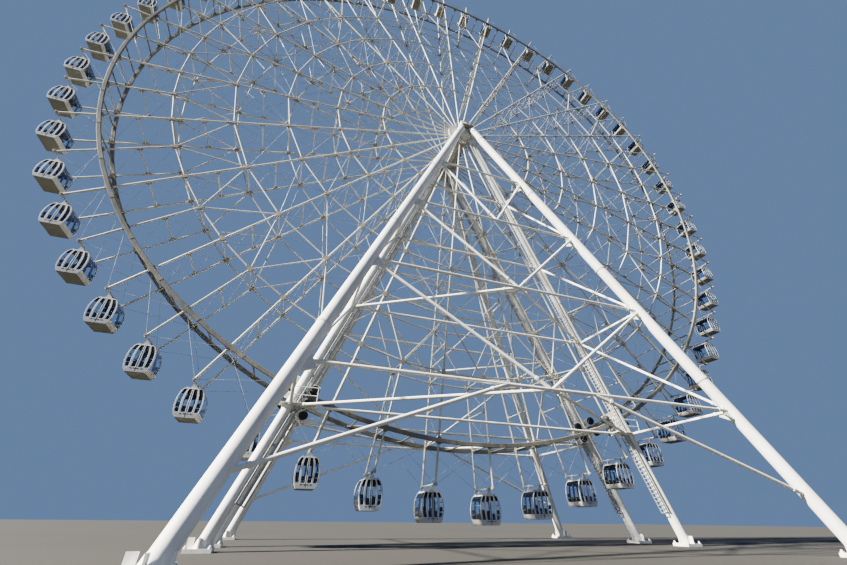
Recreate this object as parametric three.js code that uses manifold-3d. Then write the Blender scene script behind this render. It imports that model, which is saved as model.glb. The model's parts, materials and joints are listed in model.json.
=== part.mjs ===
// A large observation wheel with 54 enclosed cabins, as a 1:10 scale model of the real thing.
// Millimetres, +Z up. The wheel turns about the Y axis and the origin is on the ground midway between the
// front and rear supports. The front, with the nearer pyramid of legs, faces -Y.
import * as THREE from "three";
import { mergeVertices } from "three/addons/utils/BufferGeometryUtils.js";
import Module from "manifold-3d";

const wasm = await Module();
wasm.setup();

// Driving dimensions of the model: 1 mm here is 10 mm on the real wheel.
const HUB_HEIGHT = 4370;
const CABINS = 54;
const TIP_RADIUS = 4000; // cabin pivots
const TURN_AT_REST = 171.7; // angle of the first pivot from +X, degrees
const RIM_RADIUS = 3703; // the round drive rim
const RING_RADII = [3157, 2626, 2093, 1549, 1014]; // the polygon rings, outer to inner
const HALF_GAP_AT_TIPS = 150; // middle of each lattice side from the middle of the wheel
const CONE = 0.0197; // how much wider the wheel gets for each mm towards the hub
const SIDE_DEPTH = 18; // depth of a lattice side along Y
const GAP = 0.3; // between touching solids

// Bar widths seen along Y.
const ARM_WIDTH = 17;
const RADIAL_WIDTH = 21;
const RING_WIDTH = 18;
const BRACE_WIDTH = 14;

const STEP = (2 * Math.PI) / CABINS;
const angleOf = (n) => THREE.MathUtils.degToRad(TURN_AT_REST) + n * STEP;
const halfGap = (radius) => HALF_GAP_AT_TIPS + CONE * (TIP_RADIUS - radius);
const onWheel = (n, radius, y = 0) =>
  new THREE.Vector3(radius * Math.cos(angleOf(n)), y, radius * Math.sin(angleOf(n)));

const PAINT = new THREE.MeshStandardMaterial({ color: 0xe9e7e0, roughness: 0.45, metalness: 0.1 });
const DARK_PAINT = new THREE.MeshStandardMaterial({ color: 0x8d8a82, roughness: 0.5, metalness: 0.3 });
const CABIN_PAINT = new THREE.MeshStandardMaterial({ color: 0xd9dbd8, roughness: 0.4, metalness: 0.1 });

// Solids and booleans.
function solidOf(geometry) {
  const bare = geometry.index ? geometry.toNonIndexed() : geometry;
  bare.deleteAttribute("normal");
  bare.deleteAttribute("uv");
  const merged = mergeVertices(bare, 1e-3);
  return new wasm.Manifold(
    new wasm.Mesh({
      numProp: 3,
      vertProperties: merged.attributes.position.array,
      triVerts: new Uint32Array(merged.index.array),
    }),
  );
}

function geometryOf(solid) {
  const mesh = solid.getMesh();
  const places = new Float32Array(mesh.numVert * 3);
  for (let i = 0; i < mesh.numVert; i++) {
    places.set(mesh.vertProperties.subarray(i * mesh.numProp, i * mesh.numProp + 3), i * 3);
  }
  const geometry = new THREE.BufferGeometry();
  geometry.setAttribute("position", new THREE.BufferAttribute(places, 3));
  geometry.setIndex(new THREE.BufferAttribute(new Uint32Array(mesh.triVerts), 1));
  return geometry;
}

// Joins a list of solids two by two, which is quicker than one after the other.
function joined(solids) {
  let left = solids;
  while (left.length > 1) {
    const next = [];
    for (let i = 0; i < left.length; i += 2) {
      next.push(i + 1 < left.length ? left[i].add(left[i + 1]) : left[i]);
    }
    left = next;
  }
  return left[0];
}

// A bar from a to b whose section is a polygon of a few sides.
function bar(a, b, diameter, sides = 6) {
  const along = new THREE.Vector3().subVectors(b, a);
  const length = along.length();
  const geometry = new THREE.CylinderGeometry(diameter / 2, diameter / 2, length, sides);
  geometry.applyQuaternion(
    new THREE.Quaternion().setFromUnitVectors(new THREE.Vector3(0, 1, 0), along.normalize()),
  );
  geometry.translate((a.x + b.x) / 2, (a.y + b.y) / 2, (a.z + b.z) / 2);
  return solidOf(geometry);
}

// An outline in X and Z, given a depth along Y about the middle plane.
function slab(corners, depth) {
  const geometry = new THREE.ExtrudeGeometry(new THREE.Shape(corners), { depth, bevelEnabled: false });
  geometry.rotateX(Math.PI / 2); // the outline's second axis becomes Z and the depth runs to -Y
  geometry.translate(0, depth / 2, 0);
  return solidOf(geometry);
}

// A flat polygon ring about the Y axis, with its corners on evenly spaced radials.
function flatRing(radius, width, corners, depth) {
  const stride = CABINS / corners;
  const loop = (r) =>
    Array.from({ length: corners }, (_, k) => {
      const p = onWheel(k * stride, r);
      return new THREE.Vector2(p.x, p.z);
    });
  return slab(loop(radius + width / 2), depth).subtract(slab(loop(radius - width / 2), 2 * depth));
}

// Moves a flat lattice side out to its place, -1 in front and 1 behind, and gives it the wheel's slight cone.
function coned(solid, side) {
  const geometry = geometryOf(solid);
  const places = geometry.attributes.position;
  for (let i = 0; i < places.count; i++) {
    const radius = Math.hypot(places.getX(i), places.getZ(i));
    places.setY(i, places.getY(i) + side * halfGap(radius));
  }
  return solidOf(geometry);
}

// One lattice side: 27 radials to the tips, 27 outer arms that end in a V at the second ring, five polygon
// rings, and a ring at the hub. It is drawn as one outline in X and Z with a hole for each cell.
const HUB_RING_RADIUS = 150;
const HUB_RING_WIDTH = 40;
const TIP_LENGTH = 24; // how far an arm runs past its cabin's pivot

// The point where two lines meet, each given by a point and a direction.
function meeting(a, along, b, other) {
  const cross = along.x * other.y - along.y * other.x;
  const t = ((b.x - a.x) * other.y - (b.y - a.y) * other.x) / cross;
  return new THREE.Vector2(a.x + along.x * t, a.y + along.y * t);
}

// The clear hole inside a loop of bars: CORNERS go round anticlockwise, and WIDTHS[i] is the width of the
// bar from corner i to the next one.
function cell(corners, widths) {
  const edges = corners.map((corner, i) => {
    const along = new THREE.Vector2().subVectors(corners[(i + 1) % corners.length], corner).normalize();
    const inward = new THREE.Vector2(-along.y, along.x);
    return { point: corner.clone().addScaledVector(inward, widths[i] / 2), along };
  });
  return edges.map((edge, i) => {
    const before = edges[(i + edges.length - 1) % edges.length];
    return meeting(before.point, before.along, edge.point, edge.along);
  });
}

function latticeSide(side) {
  const at = (n, radius) => {
    const p = onWheel(n, radius);
    return new THREE.Vector2(p.x, p.z);
  };
  const [second, third] = RING_RADII;
  const outline = [];
  const holes = [];
  for (let n = 0; n < CABINS; n++) {
    const main = n % 2 === 0;
    const half = (main ? RADIAL_WIDTH : ARM_WIDTH) / 2;
    const out = at(n, 1);
    const across = new THREE.Vector2(-out.y, out.x);
    const ringEdge = (m) => at(m, second + RING_WIDTH / 2);
    for (const turn of [-1, 1]) {
      const ringAlong = new THREE.Vector2().subVectors(ringEdge(n + turn), ringEdge(n));
      const foot = meeting(across.clone().multiplyScalar(turn * half), out, ringEdge(n), ringAlong);
      const tip = at(n, TIP_RADIUS + TIP_LENGTH).addScaledVector(across, turn * half);
      outline.push(...(turn < 0 ? [foot, tip] : [tip, foot]));
    }
    if (main) {
      const middle = at(n + 1, second);
      const [inner, nextInner] = [at(n, third), at(n + 2, third)];
      const [outer, nextOuter] = [at(n, second), at(n + 2, second)];
      holes.push(cell([inner, outer, middle], [RADIAL_WIDTH, RING_WIDTH, BRACE_WIDTH]));
      holes.push(cell([inner, middle, nextInner], [BRACE_WIDTH, BRACE_WIDTH, RING_WIDTH]));
      holes.push(cell([middle, nextOuter, nextInner], [RING_WIDTH, RADIAL_WIDTH, BRACE_WIDTH]));
      const radii = [...RING_RADII.slice(1), HUB_RING_RADIUS];
      for (let i = 0; i + 1 < radii.length; i++) {
        const innerWidth = i + 2 < radii.length ? RING_WIDTH : HUB_RING_WIDTH;
        holes.push(
          cell(
            [at(n, radii[i + 1]), at(n, radii[i]), at(n + 2, radii[i]), at(n + 2, radii[i + 1])],
            [RADIAL_WIDTH, RING_WIDTH, RADIAL_WIDTH, innerWidth],
          ),
        );
      }
    }
  }
  holes.push(Array.from({ length: CABINS / 2 }, (_, k) => at(2 * k, HUB_RING_RADIUS - HUB_RING_WIDTH / 2)));
  const cells = joined(holes.map((corners) => slab(corners, 2 * SIDE_DEPTH)));
  return coned(slab(outline, SIDE_DEPTH).subtract(cells), side);
}

// The drive rim: a round rail bolted to the outer face of each lattice side, where the drive tyres grip it.
// The two rails are tied by a cross strut in the middle of each outer bay, clear of the arms.
const RIM_WIDTH = 44;
const RIM_DEPTH = 30;
const STRUT_DIAMETER = 16;

function driveRim() {
  const outside = halfGap(RIM_RADIUS - RIM_WIDTH / 2) + SIDE_DEPTH / 2 + GAP;
  const centre = outside + RIM_DEPTH / 2;
  const middle = RIM_RADIUS * Math.cos(STEP / 2); // the rails run straight from one radial to the next
  const parts = [];
  for (const side of [-1, 1]) {
    const rim = flatRing(RIM_RADIUS, RIM_WIDTH, CABINS, RIM_DEPTH);
    parts.push(rim.translate([0, side * centre, 0]));
  }
  for (let n = 0; n < CABINS; n++) {
    parts.push(bar(onWheel(n + 0.5, middle, -centre), onWheel(n + 0.5, middle, centre), STRUT_DIAMETER, 3));
  }
  return joined(parts);
}

// The hub: a drum through the two hub rings, a flange outside each of them, and the shaft to the bearings.
const SHAFT_RADIUS = 45;
const SHAFT_SIDES = 24;
const SHAFT_PAST_BEARING = 6;
const DRUM_RADIUS = (HUB_RING_RADIUS - HUB_RING_WIDTH / 2) * Math.cos(STEP) - GAP;
const FLANGE_RADIUS = 165;
const FLANGE_THICKNESS = 14;
const BEARING_Y = 360;
const BEARING_WIDTH = 90;

function hub() {
  const flange = halfGap(HUB_RING_RADIUS - HUB_RING_WIDTH / 2) + SIDE_DEPTH / 2 + GAP;
  const end = BEARING_Y + BEARING_WIDTH / 2 + SHAFT_PAST_BEARING;
  const half = [
    [DRUM_RADIUS, flange],
    [FLANGE_RADIUS, flange],
    [FLANGE_RADIUS, flange + FLANGE_THICKNESS],
    [SHAFT_RADIUS, flange + FLANGE_THICKNESS],
    [SHAFT_RADIUS, end],
    [0, end],
  ];
  const profile = [...half.map(([r, y]) => [r, -y]).reverse(), ...half];
  return solidOf(
    new THREE.LatheGeometry(
      profile.map(([r, y]) => new THREE.Vector2(r, y)),
      SHAFT_SIDES,
    ),
  );
}

// A support: two outer legs splayed away from the wheel and two inner legs beside it, tied at four levels.
// Each leg runs straight from foot to top, both given as [x, y, z] for the right-hand leg at the rear.
const OUTER_LEG = {
  foot: [1781, 1390, 0],
  top: [43, 411, HUB_HEIGHT - 60],
  diameter: 81,
  ties: [822, 1632, 2440, 3240],
};
const INNER_LEG = {
  foot: [1784, 249, 0],
  top: [43, 326, HUB_HEIGHT - 60],
  diameter: 75,
  ties: [822, 1640, 2440, 3246],
};
const LEG_SIDES = 6;
const TIE_DIAMETER = 21;
const TIE_SIDES = 4;
const FOOT_THICKNESS = 20;
const FOOT_PER_LEG = 2; // width of a foot plate over the leg's diameter
const HOUSING_WIDTH = 136;
const HOUSING_TOP = 60; // above the shaft
const HOUSING_BOTTOM = 200; // below it, where the legs meet
const CAP_WIDTH = 150; // the plate that the outer legs end under
const CAP_Y = [362, 456];
const CAP_Z = [-76, -58];
const BRACED_LEVELS = [0, 1]; // counted up: here the outer tie's middle is braced to the inner legs
const LOW_BRACE_FOOT = 300; // height on the outer leg where the low brace starts
const LOW_BRACE_INSET = 300; // from the middle of the lowest outer tie to where it ends

function support(side) {
  // The point of a leg's centre line at height z, on the left (-1) or the right (1).
  const on = (leg, hand, z) => {
    const t = (z - leg.foot[2]) / (leg.top[2] - leg.foot[2]);
    const [x, y] = [0, 1].map((i) => leg.foot[i] + (leg.top[i] - leg.foot[i]) * t);
    return new THREE.Vector3(hand * x, side * y, z);
  };
  const middle = (i) => on(OUTER_LEG, 1, OUTER_LEG.ties[i]).setX(0);
  const parts = [];
  const tie = (a, b) => parts.push(bar(a, b, TIE_DIAMETER, TIE_SIDES));
  const both = [-1, 1];
  for (const leg of [OUTER_LEG, INNER_LEG]) {
    for (const hand of both) {
      const foot = on(leg, hand, FOOT_THICKNESS / 2);
      parts.push(bar(foot, on(leg, hand, leg.top[2]), leg.diameter, LEG_SIDES));
      const width = leg.diameter * FOOT_PER_LEG;
      const plate = new THREE.BoxGeometry(width, width, FOOT_THICKNESS);
      plate.translate(foot.x, foot.y, FOOT_THICKNESS / 2);
      parts.push(solidOf(plate));
    }
    for (const z of leg.ties) tie(on(leg, -1, z), on(leg, 1, z));
  }
  for (const hand of both) {
    OUTER_LEG.ties.forEach((z, i) => {
      tie(on(OUTER_LEG, hand, z), on(INNER_LEG, hand, INNER_LEG.ties[i]));
      if (i === 0) return;
      tie(on(OUTER_LEG, hand, z), middle(i - 1));
      tie(on(INNER_LEG, hand, INNER_LEG.ties[i]), on(OUTER_LEG, hand, OUTER_LEG.ties[i - 1]));
    });
    for (const i of BRACED_LEVELS) tie(middle(i), on(INNER_LEG, hand, INNER_LEG.ties[i]));
    tie(on(OUTER_LEG, hand, LOW_BRACE_FOOT), middle(0).setX(hand * LOW_BRACE_INSET));
  }
  const housing = new THREE.BoxGeometry(HOUSING_WIDTH, BEARING_WIDTH, HOUSING_TOP + HOUSING_BOTTOM);
  housing.translate(0, side * BEARING_Y, HUB_HEIGHT + (HOUSING_TOP - HOUSING_BOTTOM) / 2);
  parts.push(solidOf(housing));
  const cap = new THREE.BoxGeometry(CAP_WIDTH, CAP_Y[1] - CAP_Y[0], CAP_Z[1] - CAP_Z[0]);
  cap.translate(0, (side * (CAP_Y[0] + CAP_Y[1])) / 2, HUB_HEIGHT + (CAP_Z[0] + CAP_Z[1]) / 2);
  parts.push(solidOf(cap));
  const boreRadius = SHAFT_RADIUS / Math.cos(Math.PI / SHAFT_SIDES) + GAP;
  const bore = new THREE.CylinderGeometry(boreRadius, boreRadius, 2 * BEARING_WIDTH, SHAFT_SIDES);
  bore.translate(0, side * BEARING_Y, HUB_HEIGHT);
  return joined(parts).subtract(solidOf(bore));
}

// A cabin: a floor with kick panels, four bent corner posts around open windows, and a roof that hangs from
// the axle.
// The outside is a stack of levels, each [height above the pivot, half width, half depth].
const CABIN_ROOF = [-42, 57, 86];
const CABIN_SHOULDER = [-100, 86, 93];
const CABIN_SILL = [-190, 84, 93];
const CABIN_FLOOR = [-241, 63, 93];
const CABIN_WALL = 7;
const POST_WIDTH = 14;
const LINTEL_HEIGHT = 4;
const HANGER_HALF_WIDTH = 24;
const HANGER_DEPTH = 60;
const AXLE_DIAMETER = 16;
const AXLE_SIDES = 4;
const AXLE_END = HALF_GAP_AT_TIPS - SIDE_DEPTH / 2 - CONE * TIP_LENGTH - GAP;

// A closed solid with a rectangle at each level, from the top down.
function stacked(levels) {
  const corners = [];
  for (const [z, x, y] of levels) {
    corners.push([-x, -y, z], [x, -y, z], [x, y, z], [-x, y, z]);
  }
  const faces = [
    [0, 1, 2],
    [0, 2, 3],
  ];
  for (let i = 0; i + 1 < levels.length; i++) {
    for (let k = 0; k < 4; k++) {
      const a = 4 * i + k;
      const b = 4 * i + ((k + 1) % 4);
      faces.push([a, a + 4, b + 4], [a, b + 4, b]);
    }
  }
  const last = 4 * (levels.length - 1);
  faces.push([last, last + 2, last + 1], [last, last + 3, last + 2]);
  const geometry = new THREE.BufferGeometry();
  geometry.setAttribute("position", new THREE.BufferAttribute(new Float32Array(corners.flat()), 3));
  geometry.setIndex(faces.flat());
  return solidOf(geometry);
}

// An outline of [across, height] points, given a depth through the cabin. ALONG_X turns it to face +X and -X.
function prism(points, depth, alongX = false) {
  const solid = slab(
    points.map(([x, z]) => new THREE.Vector2(x, z)),
    depth,
  );
  return alongX ? solid.rotate([0, 0, 90]) : solid;
}

function cabin() {
  const levels = [CABIN_ROOF, CABIN_SHOULDER, CABIN_SILL, CABIN_FLOOR];
  const inset = ([z, x, y], raise) => [z + raise, x - CABIN_WALL, y - CABIN_WALL];
  const inner = [inset(CABIN_ROOF, -CABIN_WALL), inset(CABIN_SHOULDER, 0), inset(CABIN_FLOOR, CABIN_WALL)];
  // The windows from roof to sill through two facing walls: ACROSS is 1 for front and rear, 2 for the sides.
  const window = (across) => {
    const heights = [inner[0][0] - LINTEL_HEIGHT, CABIN_SHOULDER[0], CABIN_SILL[0]];
    const right = heights.map((z, i) => [levels[i][across] - CABIN_WALL - POST_WIDTH, z]);
    const left = right.map(([x, z]) => [-x, z]).reverse();
    return prism([...right, ...left], 4 * CABIN_FLOOR[2], across === 2);
  };
  const shell = stacked(levels).subtract(stacked(inner));
  const foot = CABIN_ROOF[0] - CABIN_WALL / 2;
  const hanger = prism(
    [
      [-HANGER_HALF_WIDTH, foot],
      [HANGER_HALF_WIDTH, foot],
      [0, AXLE_DIAMETER / 2],
    ],
    HANGER_DEPTH,
  );
  const end = new THREE.Vector3(0, AXLE_END, 0);
  const axle = bar(end.clone().negate(), end, AXLE_DIAMETER, AXLE_SIDES);
  return joined([shell.subtract(window(1)).subtract(window(2)), hanger, axle]);
}

// The model.
const wheel = new THREE.Group();

function place(name, solid, material, x = 0, y = 0, z = 0) {
  const mesh = new THREE.Mesh(geometryOf(solid), material);
  mesh.name = name;
  mesh.position.set(x, y, z);
  wheel.add(mesh);
}

place("front_support", support(-1), PAINT);
place("rear_support", support(1), PAINT);
place("hub", hub(), DARK_PAINT, 0, 0, HUB_HEIGHT);
place("front_wheel_frame", latticeSide(-1), PAINT, 0, 0, HUB_HEIGHT);
place("rear_wheel_frame", latticeSide(1), PAINT, 0, 0, HUB_HEIGHT);
place("drive_rim", driveRim(), PAINT, 0, 0, HUB_HEIGHT);
const cabinSolid = cabin();
for (let n = 0; n < CABINS; n++) {
  const pivot = onWheel(n, TIP_RADIUS);
  place(`cabin_${String(n + 1).padStart(2, "0")}`, cabinSolid, CABIN_PAINT, pivot.x, 0, HUB_HEIGHT + pivot.z);
}

export default wheel;
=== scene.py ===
# %% [markdown]
# A large observation wheel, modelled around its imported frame.
# The real wheel is 84 m high and this is its 1:10 scale model, in metres. It turns about the Y axis, its
# front faces -Y, and its 54 cabins stay level. The frame gives the hub, the cabins' pivots and the bodies
# that move, and each cell below models one kind of piece around them.

# %% The frame
import json
import math

import bmesh
import bpy
from mathutils import Matrix, Vector

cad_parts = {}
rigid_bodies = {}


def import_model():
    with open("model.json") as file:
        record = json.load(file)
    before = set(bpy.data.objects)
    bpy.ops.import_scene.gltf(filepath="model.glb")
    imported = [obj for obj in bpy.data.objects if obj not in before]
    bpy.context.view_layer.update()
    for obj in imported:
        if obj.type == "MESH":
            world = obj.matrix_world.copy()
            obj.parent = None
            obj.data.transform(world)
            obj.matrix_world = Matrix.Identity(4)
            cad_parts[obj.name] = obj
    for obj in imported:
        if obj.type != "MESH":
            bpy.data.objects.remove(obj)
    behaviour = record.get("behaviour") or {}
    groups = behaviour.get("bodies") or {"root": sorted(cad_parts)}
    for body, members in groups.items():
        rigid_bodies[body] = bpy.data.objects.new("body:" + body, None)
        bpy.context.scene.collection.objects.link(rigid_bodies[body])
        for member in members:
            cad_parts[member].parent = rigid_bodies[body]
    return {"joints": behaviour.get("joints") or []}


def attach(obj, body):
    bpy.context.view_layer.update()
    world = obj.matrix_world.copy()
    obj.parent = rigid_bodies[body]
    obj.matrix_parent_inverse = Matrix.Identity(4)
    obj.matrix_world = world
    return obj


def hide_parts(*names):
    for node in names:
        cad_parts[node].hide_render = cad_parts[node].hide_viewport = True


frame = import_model()
bpy.ops.object.select_all(action="DESELECT")
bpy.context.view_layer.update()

# %% [markdown]
# The camera stands on the ground in front and to the left of the wheel and looks steeply up at it with a
# wide lens. Its place, turn and lens come from fitting the photograph's cabin pivots and level ties, so they
# are given as they were found. A camera at rest looks straight down, so it is first rolled, then tipped up
# past the level, and then turned towards the right.

# %% The camera
CAMERA_PLACE = Vector((-1.4487, -3.0785, 0.1617))
CAMERA_YAW = math.radians(18.759)
CAMERA_PITCH = math.radians(31.954)
CAMERA_ROLL = math.radians(0.540)
FOCAL_LENGTH = 16.19
SENSOR_WIDTH = 36

bpy.ops.object.camera_add()
camera = bpy.context.active_object
camera.matrix_world = (
    Matrix.Translation(CAMERA_PLACE)
    @ Matrix.Rotation(-CAMERA_YAW, 4, "Z")
    @ Matrix.Rotation(math.pi / 2 + CAMERA_PITCH, 4, "X")
    @ Matrix.Rotation(CAMERA_ROLL, 4, "Z")
)
camera.data.lens = FOCAL_LENGTH
camera.data.sensor_width = SENSOR_WIDTH
camera.data.clip_end = 200
bpy.context.scene.camera = camera
print("The camera looks up by", round(math.degrees(CAMERA_PITCH), 1), "degrees")

# %% [markdown]
# Everything on the wheel is placed by two numbers: which radial it is on, counted from the first cabin, and
# how far it is from the hub. The frame's joints give the hub and the 54 pivots, and the rest follows from
# them, so nothing has to be fitted by eye. The two lattice sides stand a little further apart at the hub
# than at the tips, which half_gap says.

# %% Places on the wheel
PIVOTS = {joint["child"]: Vector(joint["pos_m"]) for joint in frame["joints"]}
HUB = PIVOTS.pop("wheel")
RADIALS = len(PIVOTS)
STEP = math.tau / RADIALS
first_arm = PIVOTS["cabin_01_body"] - HUB
FIRST_ANGLE = math.atan2(first_arm.z, first_arm.x)
TIP_RADIUS = first_arm.length
HALF_GAP_AT_TIPS = 0.150
CONE = 0.0197  # how much wider the wheel gets towards the hub
X, Y, Z = Vector((1, 0, 0)), Vector((0, 1, 0)), Vector((0, 0, 1))
AXLE = Y
FRONT, REAR = -1, 1


def half_gap(radius):
    """From the middle of the wheel to the middle of a lattice side."""
    return HALF_GAP_AT_TIPS + CONE * (TIP_RADIUS - radius)


def outward(n):
    """The direction from the hub along radial n."""
    angle = FIRST_ANGLE + n * STEP
    return Vector((math.cos(angle), 0, math.sin(angle)))


def tangent(n):
    """The direction around the wheel at radial n."""
    return outward(n).cross(AXLE)


def on_wheel(n, radius, y=0.0):
    """The point on radial n at a distance from the axle."""
    return HUB + outward(n) * radius + AXLE * y


def on_side(side, n, radius):
    """The same on the front or rear lattice side."""
    return on_wheel(n, radius, side * half_gap(radius))


print(RADIALS, "radials, pivots at", round(TIP_RADIUS, 3), "m from the hub")

# %% [markdown]
# The steel is sprayed white and has been outdoors for years. Paint on steel is never one flat colour: it
# greys in broad patches, rain draws faint streaks down it, and a fine orange-peel texture breaks up the
# gloss. So each paint is a Principled shader whose colour mixes two tones through a broad noise, whose
# streaks come from a noise stretched along Z, and whose roughness and bump come from finer ones. All of
# them read Object coordinates, which are metres here.

# %% Painted steel


def new_material(name):
    """An empty node material and what is needed to fill it."""
    material = bpy.data.materials.new(name)
    material.use_nodes = True
    tree = material.node_tree
    shader = tree.nodes["Principled BSDF"]
    coordinates = tree.nodes.new("ShaderNodeTexCoord")
    return material, tree, shader, coordinates.outputs["Object"]


def noise(tree, place, scale, detail=3.0, stretch=(1, 1, 1)):
    """A noise texture whose pattern is STRETCH times as fine along each axis."""
    mapping = tree.nodes.new("ShaderNodeMapping")
    mapping.inputs["Scale"].default_value = stretch
    texture = tree.nodes.new("ShaderNodeTexNoise")
    texture.inputs["Scale"].default_value = scale
    texture.inputs["Detail"].default_value = detail
    tree.links.new(place, mapping.inputs["Vector"])
    tree.links.new(mapping.outputs["Vector"], texture.inputs["Vector"])
    return texture.outputs["Fac"]


def ramp(tree, factor, stops):
    """Colours or greys along a 0 to 1 factor, from two stops of (position, colour)."""
    node = tree.nodes.new("ShaderNodeValToRGB")
    for element, (position, colour) in zip(node.color_ramp.elements, stops):
        element.position = position
        element.color = (*colour, 1)
    tree.links.new(factor, node.inputs["Fac"])
    return node.outputs["Color"]


def multiplied(tree, share, colour, pattern):
    """A colour with a pattern multiplied into it, by a share from 0 to 1."""
    mix = tree.nodes.new("ShaderNodeMix")
    mix.data_type = "RGBA"
    mix.blend_type = "MULTIPLY"
    mix.inputs[0].default_value = share
    tree.links.new(colour, mix.inputs[6])
    tree.links.new(pattern, mix.inputs[7])
    return mix.outputs[2]


def bumped(tree, shader, height, strength, distance):
    """Sends a height pattern to the shader's normal."""
    bump = tree.nodes.new("ShaderNodeBump")
    bump.inputs["Strength"].default_value = strength
    bump.inputs["Distance"].default_value = distance
    tree.links.new(height, bump.inputs["Height"])
    tree.links.new(bump.outputs["Normal"], shader.inputs["Normal"])


def paint(name, clean, grimy, roughness, metallic=0.0, streaks=0.5, grain=60.0):
    """Sprayed paint that has greyed in patches and streaked in the rain."""
    material, tree, shader, place = new_material(name)
    patches = ramp(tree, noise(tree, place, 2.3), [(0.35, clean), (0.72, grimy)])
    runs = noise(tree, place, 30.0, stretch=(1, 1, 0.08))
    streaked = ramp(tree, runs, [(0.45, (1, 1, 1)), (0.8, (0.72, 0.69, 0.64))])
    tree.links.new(multiplied(tree, streaks, patches, streaked), shader.inputs["Base Color"])
    low, high = (roughness - 0.08,) * 3, (roughness + 0.15,) * 3
    gloss = ramp(tree, noise(tree, place, 9.0), [(0.3, low), (0.75, high)])
    tree.links.new(gloss, shader.inputs["Roughness"])
    shader.inputs["Metallic"].default_value = metallic
    bumped(tree, shader, noise(tree, place, grain, detail=2.0), 0.12, 0.002)
    return material


FINE = 110.0  # the grain of the cabins, which are small
WHITE_PAINT = paint("white paint", (0.84, 0.83, 0.79), (0.70, 0.69, 0.65), 0.55)
LATTICE_PAINT = paint("lattice paint", (0.66, 0.65, 0.60), (0.47, 0.45, 0.40), 0.62, streaks=0.7)
# The node plates' tan colour is painted shade; the patches and streaks are weathering.
TAN_SHADE_PAINT = paint("node plates in tan painted shade", (0.50, 0.45, 0.36), (0.34, 0.30, 0.24), 0.55, streaks=0.7)
# The rails' colour is a dark brownish grey.
RAIL_PAINT = paint("dark brownish rail paint", (0.26, 0.25, 0.22), (0.17, 0.16, 0.14), 0.70, streaks=0.8)
# The dark brown of these plates is painted shade; the patches and streaks are weathering.
DARK_SHADE_PAINT = paint("weathered plates in dark painted shade", (0.33, 0.30, 0.24), (0.19, 0.175, 0.14), 0.55, streaks=0.7)
ROD_ZINC = paint("galvanised rods", (0.46, 0.47, 0.46), (0.33, 0.34, 0.34), 0.55, metallic=0.2, streaks=0.3)
HUB_PAINT = paint("hub steel", (0.70, 0.69, 0.65), (0.50, 0.49, 0.46), 0.40, metallic=0.25, streaks=0.4)
CABIN_PAINT = paint("cabin shell", (0.50, 0.52, 0.53), (0.42, 0.44, 0.45), 0.60, streaks=0.3, grain=FINE)
PAN_PAINT = paint("floor pan", (0.26, 0.255, 0.22), (0.20, 0.195, 0.17), 0.55, streaks=0.2, grain=FINE)
SIDE_PAINT = paint("cabin side frames", (0.66, 0.65, 0.60), (0.55, 0.54, 0.50), 0.60, streaks=0.4, grain=FINE)
LINING_PAINT = paint("cabin lining", (0.13, 0.15, 0.18), (0.09, 0.105, 0.13), 0.6, streaks=0.0, grain=FINE)
DARK_PAINT = paint("dark fittings", (0.075, 0.075, 0.07), (0.045, 0.045, 0.045), 0.45, streaks=0.2)
print("Painted finishes:", len([m for m in bpy.data.materials if m.use_nodes]))

# %% [markdown]
# The cabins are glazed with blue tinted glass. Seen from below, a pane shows the dark ceiling or a seat
# behind it, or the sky through the pane on the other side, and its tint turns these into navy and light
# blue. So the glass is a real glass shader, whose tint varies a little through a broad noise. Tyres and
# seats are soft and dark, with a finer grain.

# %% Glass and soft black


def tinted_glass(name):
    """Glass that lets blue light through, with a sharp gloss."""
    material, tree, shader, place = new_material(name)
    tones = [(0.35, (0.84, 0.92, 0.98)), (0.65, (0.90, 0.95, 0.99))]
    blue = ramp(tree, noise(tree, place, 9.0, detail=1.0), tones)
    tree.links.new(blue, shader.inputs["Base Color"])
    shader.inputs["Roughness"].default_value = 0.02
    shader.inputs["IOR"].default_value = 1.45
    shader.inputs["Transmission Weight"].default_value = 1.0
    return material


def soft_black(name, light, dark, grain):
    """Rubber or upholstery with a fine grain."""
    material, tree, shader, place = new_material(name)
    tone = ramp(tree, noise(tree, place, 25.0), [(0.35, light), (0.7, dark)])
    tree.links.new(tone, shader.inputs["Base Color"])
    shader.inputs["Roughness"].default_value = 0.8
    bumped(tree, shader, noise(tree, place, grain), 0.4, 0.001)
    return material


GLASS = tinted_glass("blue tinted glass")
RUBBER = soft_black("tyre rubber", (0.035, 0.035, 0.035), (0.018, 0.018, 0.018), 160.0)
SEAT_CLOTH = soft_black("seat cloth", (0.040, 0.050, 0.075), (0.022, 0.028, 0.042), 260.0)
VENT_BLACK = soft_black("vent black", (0.010, 0.011, 0.013), (0.005, 0.006, 0.007), 260.0)

# %% [markdown]
# Nearly every part of the wheel is a round steel tube, so one helper does most of the work. It adds a
# circle, then extrudes it along the tube and resizes it wherever the tube gets thicker or thinner, as one
# would by hand with E and S. Tubes that only join other tubes get swaged, narrower ends and collars, so
# that none of them is a bare cylinder. A second helper makes flat plates in the same way, from a square or
# a triangle.

# %% Tubes and plates
SMOOTH_UP_TO = math.radians(62)  # the facets of a six-sided tube still look round, its ends stay sharp
COLLAR = 1.35  # times the tube's radius, as the next two are
COLLAR_HALF_LENGTH = 0.7
END_LENGTH = 1.5


def select_only(piece):
    """Selects one piece and makes it the active one."""
    bpy.ops.object.select_all(action="DESELECT")
    piece.select_set(True)
    bpy.context.view_layer.objects.active = piece


def open_piece(name):
    """Starts a new piece in edit mode."""
    piece = bpy.data.objects.new(name, bpy.data.meshes.new(name))
    bpy.context.scene.collection.objects.link(piece)
    select_only(piece)
    bpy.ops.object.mode_set(mode="EDIT")
    bpy.ops.mesh.select_mode(type="FACE")
    return piece


def close_piece(piece, material, smooth_up_to=SMOOTH_UP_TO):
    """Leaves edit mode, gives the piece its finish and smooths its round parts."""
    bpy.ops.object.mode_set(mode="OBJECT")
    piece.data.materials.append(material)
    bpy.ops.object.shade_smooth_by_angle(angle=smooth_up_to)


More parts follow.
